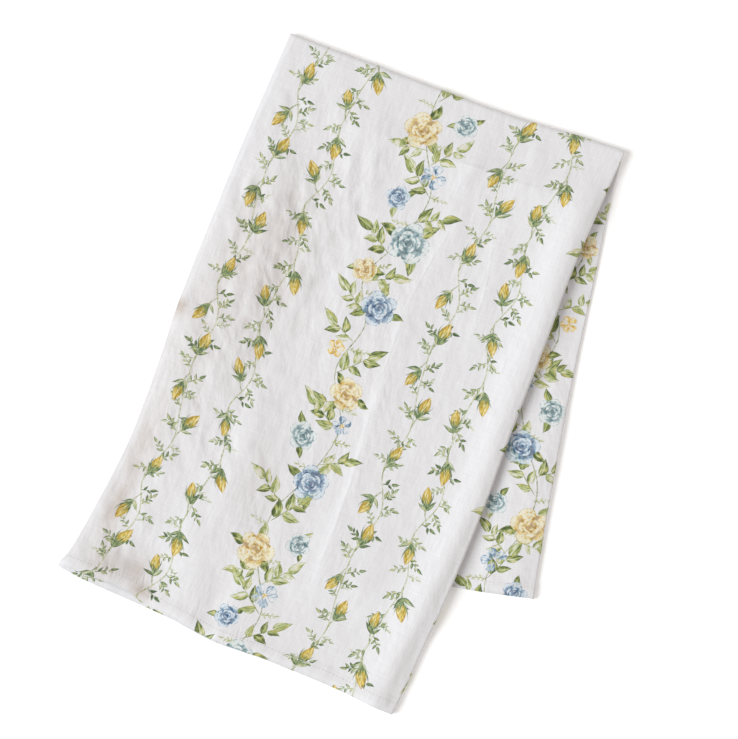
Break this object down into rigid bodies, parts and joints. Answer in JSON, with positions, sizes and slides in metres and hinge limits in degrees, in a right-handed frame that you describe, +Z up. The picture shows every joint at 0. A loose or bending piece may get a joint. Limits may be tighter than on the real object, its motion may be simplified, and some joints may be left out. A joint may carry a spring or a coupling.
{
  "type": "tea towel",
  "caption": "Printed linen tea towel, folded lengthwise and then crosswise, lying flat, with a corner of its under half showing at the side.",
  "frame": {"origin": "on the surface that the cloth lies on, under the middle of its outline's box", "axes": "+Y along the cloth from the front hem to the cross fold, +X towards the lengthwise fold, +Z up, away from the surface"},
  "size_m": [0.3154, 0.4302, 0.0116],
  "materials": {
    "printed_linen": "matte off-white plain-woven linen, printed with stripes of small yellow buds and of cream and blue roses with green leaves"
  },
  "bodies": {
    "root": {"towel_cloth": "printed_linen"}
  },
  "joints": []
}
